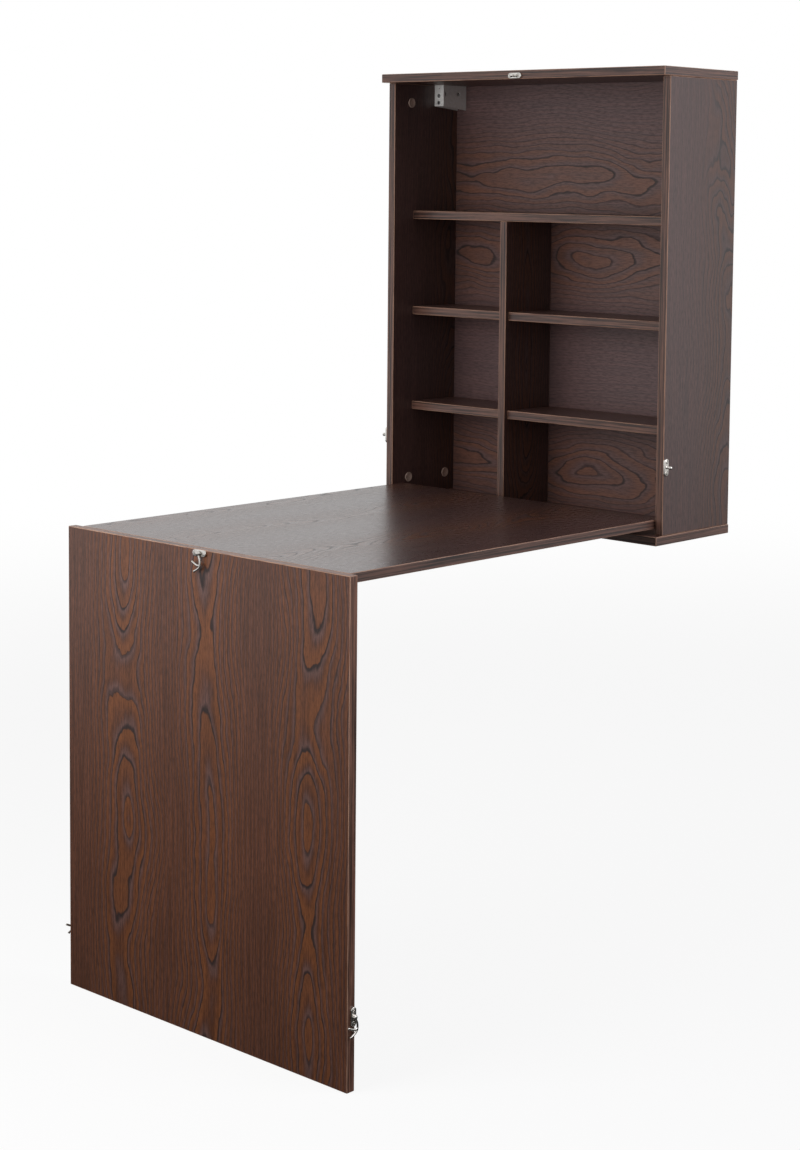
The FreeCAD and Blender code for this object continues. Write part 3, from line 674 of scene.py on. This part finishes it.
def cross(arm, slot):
    """The outline of a cross with arms of a half length and a half width."""
    corners = [(arm, -slot), (arm, slot), (slot, slot)]
    outline = []
    for _ in range(4):
        outline += corners
        corners = [(-y, x) for x, y in corners]
    return outline


def joined(parts):
    """One mesh from (mesh, matrix) pairs."""
    shape = bmesh.new()
    for data, place in parts:
        copy = data.copy()
        copy.transform(place)
        shape.from_mesh(copy)
        bpy.data.meshes.remove(copy)
    return mesh_from(shape, "joined")


def spun(degrees):
    """A turn about a fitting's own Z."""
    return Matrix.Rotation(math.radians(degrees), 4, "Z")


def fitting_place(origin, normal):
    """Millimetres in a fitting's own frame, Z off the board and Y up, to metres in the part's frame."""
    normal = Vector(normal)
    up = Vector((0, 1, 0)) if normal.z else Vector((0, 0, 1))
    turn = Matrix((up.cross(normal), up, normal)).transposed().to_4x4()
    return Matrix.Translation(origin) @ turn @ Matrix.Scale(MM, 4)


# Latch fittings, in millimetres: round-ended plates with a knobbed post or a riveted spindle
LATCH_THICK = 3.5
LATCH_ROUNDING = 1.1
LATCH_END_STEPS = 16
LATCH_SCREW_PITCH = 18
HEAD_RADIUS = 3.2
RECESS_DEPTH = 1.05
RECESS_SLIP = 0.15
RECESS_FLARE = 0.4
CUT_OVER = 1
ROOT_HEIGHT = 1.0
POST_RADIUS = 2.0
POST_FOOT = 0.7
POST_FOOT_LOW = 0.2
POST_FOOT_HIGH = 0.6
KNOB_RADIUS = 3.0
KNOB_END = 80
KNOB_STEPS = 12
COLLAR_RADIUS = 3.4
COLLAR = 0.8
COLLAR_EASE = 0.2
RIVET_RADIUS = 3.2
RIVET = 1.4
RIVET_STEP = 15
# Each latch fitting's way off its board and whether a hook turns on it
LATCHES = {
    "top_keeper": ((0, -1, 0), False),
    "left_side_catch": ((-1, 0, 0), False),
    "right_side_catch": ((1, 0, 0), False),
    "top_hook_plate": ((0, -1, 0), True),
    "left_hook_plate": ((-1, 0, 0), True),
    "right_hook_plate": ((1, 0, 0), True),
}


def spindle_profile(top):
    """A collar, the spindle that a hook turns on, and its rivet's dome."""
    rivet = top - RIVET
    shoulder = LATCH_THICK + COLLAR
    profile = [(0, ROOT_HEIGHT), (COLLAR_RADIUS, ROOT_HEIGHT), (COLLAR_RADIUS, shoulder - COLLAR_EASE),
               (COLLAR_RADIUS - COLLAR_EASE, shoulder), (POST_RADIUS, shoulder), (POST_RADIUS, rivet),
               (RIVET_RADIUS, rivet)]
    for degrees in range(RIVET_STEP, 90, RIVET_STEP):
        angle = math.radians(degrees)
        profile.append((RIVET_RADIUS * math.cos(angle), rivet + RIVET * math.sin(angle)))
    return profile + [(0, top)]


def post_profile(top):
    """A post with a round knob, which a hook catches."""
    neck = math.degrees(math.acos(POST_RADIUS / KNOB_RADIUS))
    foot = POST_RADIUS + POST_FOOT
    profile = [(0, ROOT_HEIGHT), (foot, ROOT_HEIGHT), (foot, LATCH_THICK + POST_FOOT_LOW),
               (POST_RADIUS, LATCH_THICK + POST_FOOT_HIGH)]
    profile += arc((0, top - KNOB_RADIUS), KNOB_RADIUS, -neck, KNOB_END, KNOB_STEPS)
    return profile + [(0, top)]


def latch_piece(node, normal, hooked):
    """A latch fitting: rounded plate, two screw recesses and its post or spindle."""
    low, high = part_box(node)
    normal = Vector(normal)
    middle = (low + high) / 2
    depth = abs((high - low).dot(normal))
    length = max(high - low) / MM
    width = min((high - low)[axis] for axis in range(3) if not normal[axis]) / MM
    half = (length - width) / 2
    outline = arc((half, 0), width / 2, -90, 90, LATCH_END_STEPS)
    outline += arc((-half, 0), width / 2, 90, 270, LATCH_END_STEPS)
    plate = raised(outline, 0.0, LATCH_THICK, LATCH_ROUNDING)
    seat = LATCH_THICK - RECESS_DEPTH
    mouth = LATCH_THICK + CUT_OVER
    for side in (-1, 1):
        recess = turned(((0, seat), (HEAD_RADIUS + RECESS_SLIP, seat), (HEAD_RADIUS + RECESS_FLARE, mouth),
                         (0, mouth)))
        recess.transform(Matrix.Translation((side * LATCH_SCREW_PITCH / 2, 0, 0)))
        plate = combined(plate, recess, "DIFFERENCE")
    profile = (spindle_profile if hooked else post_profile)(depth / MM)
    plate = combined(plate, turned(profile), "UNION")
    if normal.x:
        plate.transform(spun(90))
    plate.transform(fitting_place(middle - normal * depth / 2, normal))
    new_piece(node, plate, NICKEL)


# A hook's centre lines, in millimetres from its spindle: arm and tail in one sweep, then the prong
HOOK_ARM = ((0, 0), (2.4, -4.5), (4.6, -9.5), (5.0, -15.0), (4.2, -20.5), (-1.0, -24.2), (-7.4, -27.4))
HOOK_PRONG = ((4.2, -17.2), (1.0, -18.6), (-5.0, -17.0), (-12.2, -13.4))
HOOK_TIPS = ((-9.2, -27.4), (-7.4, -29.0))
HOOK_ROD = 1.75
HOOK_TIP_ROD = 0.62 * HOOK_ROD
HOOK_THICK = 2.5
HUB_RADIUS = 3.9
HUB_EASE = 0.7
HUB_EASE_HEIGHT = 0.6
HOOK_VOXEL = 0.28
HOOK_SMOOTHING = {"factor": 0.5, "iterations": 6}
ROD_RESOLUTION = 6
LINE_RESOLUTION = 8
LINE_ORDER = 3
ROD_END_STEPS = 3
# Each hook's plate and the way off its own plane
HOOKS = {
    "top_hook": ("top_hook_plate", (0, -1, 0)),
    "left_side_hook": ("left_hook_plate", (1, 0, 0)),
    "right_side_hook": ("right_hook_plate", (1, 0, 0)),
}


def rod_mesh(points, radius):
    """A round rod along a smooth line in the plane, with round ends."""
    curve = bpy.data.curves.new("rod", "CURVE")
    curve.dimensions = "3D"
    curve.bevel_depth = radius
    curve.bevel_resolution = ROD_RESOLUTION
    curve.use_fill_caps = True
    spline = curve.splines.new("NURBS")
    spline.points.add(len(points) - 1)
    for point, (x, y) in zip(spline.points, points):
        point.co = (x, y, 0, 1)
    spline.use_endpoint_u = True
    spline.order_u = LINE_ORDER
    spline.resolution_u = LINE_RESOLUTION
    shape = bmesh.new()
    shape.from_mesh(evaluated(curve))
    for x, y in (points[0], points[-1]):
        bmesh.ops.create_icosphere(
            shape, subdivisions=ROD_END_STEPS, radius=radius, matrix=Matrix.Translation((x, y, 0)))
    return mesh_from(shape, "rod")


def hook_mesh():
    """A cast hook in its own plane: hub, sweeping arm with a forked tail, and prong, all in one skin."""
    shoulder = HOOK_ROD - HUB_EASE_HEIGHT
    hub = turned(((0, -HOOK_ROD), (HUB_RADIUS - HUB_EASE, -HOOK_ROD), (HUB_RADIUS, -shoulder),
                  (HUB_RADIUS, shoulder), (HUB_RADIUS - HUB_EASE, HOOK_ROD), (0, HOOK_ROD)))
    parts = [hub, rod_mesh(HOOK_ARM, HOOK_ROD), rod_mesh(HOOK_PRONG, HOOK_ROD)]
    parts += [rod_mesh((HOOK_ARM[-1], tip), HOOK_TIP_ROD) for tip in HOOK_TIPS]
    skin = evaluated(
        joined([(part, Matrix.Identity(4)) for part in parts]),
        ("REMESH", {"mode": "VOXEL", "voxel_size": HOOK_VOXEL}),
        ("SMOOTH", HOOK_SMOOTHING),
    )
    skin.transform(Matrix.Diagonal((1, 1, HOOK_THICK / (2 * HOOK_ROD), 1)))
    return skin


def hook_piece(node, plate, normal):
    """A hook round the middle of its plate's spindle, in the plane of its own solid."""
    skin = hook_mesh()
    low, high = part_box(node)
    plate_low, plate_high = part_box(plate)
    spindle = (plate_low + plate_high) / 2
    middle = (low + high) / 2
    for axis in range(3):
        if normal[axis]:
            spindle[axis] = middle[axis]
    skin.transform(fitting_place(spindle, normal))
    new_piece(node, skin, NICKEL)


# Screws: thread in millimetres and in shares of the shank, head in shares of its radius and height
SCREW_SIDES = 24
SCREW_TURN = 38
THREAD_PITCH = 1.2
THREAD_ROOT = 0.72
THREAD_START = 2
THREAD_CLEAR = 3
POINT_RADIUS = 0.5
POINT_LENGTH = 0.9
NECK = 0.9
HEAD_PROFILE = ((1.0, 1.0), (1.0, 0.3), (0.88, 0.06), (0.5, 0.0), (0.0, 0.0))
SLOT_ARM = 0.64
SLOT_HALF = 0.15
SLOT_DEPTH = 0.75
WELD = 0.01 * MM
SCREW_GROUPS = {
    "catch_screws": (NICKEL, "bright_nickel"),
    "hook_plate_screws": (NICKEL, "bright_nickel"),
    "desk_hinge_screws": (ZINC, "zinc"),
    "leg_hinge_screws": (ZINC, "zinc"),
    "hanger_screws": (DARK_ZINC, "zinc"),
    "hanger_adjusters": (ZINC, "zinc"),
}


def solid_points(node):
    """The points of each separate solid in a node, merged where its faces meet."""
    shape = bmesh.new()
    shape.from_mesh(frame["nodes"][node].data)
    bmesh.ops.remove_doubles(shape, verts=shape.verts, dist=WELD)
    left = set(shape.verts)
    solids = []
    for first in shape.verts:
        if first not in left:
            continue
        left.remove(first)
        found = [first]
        for vert in found:
            for edge in vert.link_edges:
                other = edge.other_vert(vert)
                if other in left:
                    left.remove(other)
                    found.append(other)
        solids.append([vert.co.copy() for vert in found])
    shape.free()
    return solids


def box_of(points):
    """The lowest and the highest corner of some points."""
    return [Vector([end(point[axis] for point in points) for axis in range(3)]) for end in (min, max)]


def screw_mesh(length, shank, head_radius, head):
    """A cross-head screw, its head's top at zero and its threaded shank below."""
    profile = [(0, -length), (shank * POINT_RADIUS, -length + shank * POINT_LENGTH)]
    for turn in range(int((length - head - THREAD_CLEAR * shank) / THREAD_PITCH)):
        height = -length + THREAD_START * shank + turn * THREAD_PITCH
        profile += [(shank * THREAD_ROOT, height), (shank, height + THREAD_PITCH / 2)]
    profile.append((shank * NECK, -head))
    profile += [(head_radius * reach, -head * drop) for reach, drop in HEAD_PROFILE]
    slot = raised(cross(head_radius * SLOT_ARM, head_radius * SLOT_HALF), -SLOT_DEPTH * head, head)
    return combined(turned(profile, SCREW_SIDES), slot, "DIFFERENCE")


def screw_group(node, material):
    """Every screw of a node as one mesh, each turned its own way, sized and placed from its solid."""
    parts = []
    for order, points in enumerate(solid_points(node)):
        low, high = box_of(points)
        middle = (low + high) / 2
        axis = max(range(3), key=lambda number: high[number] - low[number])
        wide = {}
        for point in points:
            reach = point - middle
            height = round(reach[axis] / MM, 2)
            reach[axis] = 0
            wide[height] = max(wide.get(height, 0.0), reach.length / MM)
        ends = (min(wide), max(wide))
        top = max(ends, key=lambda height: wide[height])
        head_radius = wide[top]
        shank = min(wide[end] for end in ends)
        head = max(abs(height - top) for height in wide if wide[height] > (head_radius + shank) / 2)
        normal = Vector((0, 0, 0))
        normal[axis] = 1 if top > 0 else -1
        screw = screw_mesh((high - low)[axis] / MM, shank, head_radius, head)
        place = fitting_place(middle + normal * abs(top) * MM, normal)
        parts.append((screw, place @ spun(SCREW_TURN * order)))
    new_piece(node, joined(parts), material)


# Covers of the corner locks: millimetres, or shares of the cover's radius or thickness
CAP_SIDES = 40
CAP_EASE = 0.6
CAP_SHOULDER = 0.5
CAP_RIM = 0.72
CAP_DISH = 0.66
CAP_FLOOR = 0.75
CAP_CROSS_ARM = 0.46
CAP_CROSS_HALF = 0.10
CAP_CROSS_FLOOR = 0.4
CAP_CROSS_TOP = 2
CAP_TURN = 45


def cap_group(node):
    """Moulded covers over the corner locks: a dished disc with a raised rim and a cross."""
    parts = []
    for points in solid_points(node):
        low, high = box_of(points)
        middle = (low + high) / 2
        radius = (high.z - low.z) / 2 / MM
        thick = (high.x - low.x) / MM
        dish = CAP_FLOOR * thick
        profile = ((0, 0), (radius, 0), (radius, CAP_SHOULDER * thick), (radius - CAP_EASE, thick),
                   (radius * CAP_RIM, thick), (radius * CAP_DISH, dish), (0, dish))
        outline = cross(radius * CAP_CROSS_ARM, radius * CAP_CROSS_HALF)
        slot = raised(outline, CAP_CROSS_FLOOR * thick, CAP_CROSS_TOP * thick)
        cap = combined(turned(profile, CAP_SIDES), slot, "DIFFERENCE")
        normal = Vector((-1 if middle.x > 0 else 1, 0, 0))
        place = fitting_place(middle - normal * thick * MM / 2, normal)
        parts.append((cap, place @ spun(CAP_TURN)))
    new_piece(node, joined(parts), CAP_AND_PAINTED_SHEEN)


def assign(node, material):
    """Give a node that keeps its own shape a finish."""
    data = frame["nodes"][node].data
    data.materials.clear()
    data.materials.append(material)


for board, (grain, start, raw) in BOARDS.items():
    board_piece(board, grain, start, raw)
for part in frame["record"]["subparts"]:
    if part["material_slot"] in SLOT_FINISH:
        assign(part["node"], SLOT_FINISH[part["material_slot"]])
assign("back_panel", BACK_WOOD)
for latch, (normal, hooked) in LATCHES.items():
    latch_piece(latch, normal, hooked)
for hook, (plate, normal) in HOOKS.items():
    hook_piece(hook, plate, normal)
for screws, (finish, slot) in SCREW_GROUPS.items():
    screw_group(screws, finish)
cap_group("cam_caps")


def add_camera():
    """The photograph's camera."""
    azimuth, pitch, roll = (math.radians(a) for a in (CAMERA_AZIMUTH, CAMERA_PITCH, CAMERA_ROLL))
    forward = Vector((
        math.sin(azimuth) * math.cos(pitch), math.cos(azimuth) * math.cos(pitch), math.sin(pitch)))
    level = Vector((math.cos(azimuth), -math.sin(azimuth), 0.0))
    upright = level.cross(forward)
    right = level * math.cos(roll) + upright * math.sin(roll)
    up = upright * math.cos(roll) - level * math.sin(roll)
    data = bpy.data.cameras.new("camera")
    data.sensor_width = SENSOR
    data.lens = FOCAL_PIXELS / FRAME_HEIGHT * SENSOR
    data.shift_x = (FRAME_WIDTH / 2 - AXIS_PIXEL[0]) / FRAME_HEIGHT
    data.shift_y = (AXIS_PIXEL[1] - FRAME_HEIGHT / 2) / FRAME_HEIGHT
    data.clip_end = SIGHT
    camera = bpy.data.objects.new("camera", data)
    turn = Matrix((right, up, -forward)).transposed()
    camera.matrix_world = Matrix.Translation(CAMERA_PLACE) @ turn.to_4x4()
    bpy.context.scene.collection.objects.link(camera)
    bpy.context.scene.camera = camera


# Light colours, greys of the floor and the world, and spans of distance over the floor in metres
WHITE = (1.0, 1.0, 1.0)
COOL = (0.95, 0.93, 1.0)
FULL = (1.0, 1.0, 1.0, 1.0)
NONE = (0.0, 0.0, 0.0, 1.0)
FLOOR_DIM = (0.35, 0.35, 0.35, 1.0)
FLOOR_BRIGHT = (0.95, 0.95, 0.95, 1.0)
FLOOR_SIZE = 80
SHADOW_SPAN = (1.5, 5.0)
SHADOW_HIDDEN = (0.90, 1.0)
# In gloss the floor glows dim near the object and white far off: painted shade around it in reflections.
GLOSS_SPAN = (1.4, 7.0)
GLOSS_GLOW_PAINTED_SHADE = (0.05, 1.0)
FILL_LIGHT = 0.15


def add_lamp(name, place, aim, size, power, mirrored):
    """A square soft lamp that points at a place; one that isn't mirrored stays out of gloss."""
    data = bpy.data.lights.new(name, "AREA")
    data.shape = "SQUARE"
    data.size = size
    data.energy = power
    data.color = COOL if mirrored else WHITE
    lamp = bpy.data.objects.new(name, data)
    lamp.location = place
    lamp.rotation_mode = "QUATERNION"
    lamp.rotation_quaternion = (Vector(aim) - Vector(place)).to_track_quat("-Z", "Y")
    lamp.visible_glossy = mirrored
    bpy.context.scene.collection.objects.link(lamp)


def ray_kinds(shader):
    """1 for rays from the camera, and 1 for rays off gloss or through glass."""
    seen = shader.node("LightPath", output="Is Camera Ray")
    outputs = seen.socket.node.outputs
    mirrored = Value(shader, outputs["Is Glossy Ray"]).most(Value(shader, outputs["Is Transmission Ray"]))
    return seen, mirrored


def add_floor():
    """A plain pale floor: white in the picture, with a faint shadow; in gloss a painted shade near the
    object that pales further off.
    """
    low, high = CAD_BOX
    bpy.ops.mesh.primitive_plane_add(size=FLOOR_SIZE, location=(0, 0, low.z))
    floor = bpy.context.object
    floor.name = "floor"
    shader = new_shader("floor")
    seen, mirrored = ray_kinds(shader)
    distance = shader.node("VectorMath", {"operation": "LENGTH"}, {0: shader.place()}, output="Value")
    share = (seen * distance.between(*SHADOW_SPAN).spread(*SHADOW_HIDDEN)).most(mirrored)
    matte = shader.node("BsdfDiffuse", None, {"Color": shader.mix(seen, FLOOR_DIM, FLOOR_BRIGHT)})
    # Painted shade: in gloss the floor glows dim near the object, brighter further off.
    strength = seen.most(distance.between(*GLOSS_SPAN).spread(*GLOSS_GLOW_PAINTED_SHADE))
    glow = shader.node("Emission", None, {"Color": shader.mix(strength, NONE, FULL)})
    shader.finish(shader.node("MixShader", None, {0: share, 1: matte, 2: glow}))
    floor.data.materials.append(shader.owner)


def add_world():
    """White where it is seen or mirrored, and a plain fill light elsewhere."""
    world = bpy.data.worlds.new("world")
    bpy.context.scene.world = world
    shader = Shader(world)
    seen, mirrored = ray_kinds(shader)
    strength = seen.most(mirrored).spread(FILL_LIGHT, 1.0)
    white = shader.node("Background", None, {"Color": FULL, "Strength": strength})
    shader.node("OutputWorld", None, {"Surface": white})


add_camera()
add_floor()
add_world()
add_lamp("front_lamp", (-0.28, -2.15, -0.18), (0.0, -0.9, -0.8), size=1.2, power=21.5, mirrored=False)
add_lamp("left_fill", (-1.60, -2.1, -0.45), (0.0, -0.5, -0.5), size=1.8, power=2.0, mirrored=True)
add_lamp("right_lamp", (2.4, 0.35, 0.5), (0.3, -0.1, -0.4), size=1.8, power=34, mirrored=True)
bpy.context.scene.view_settings.view_transform = "Standard"
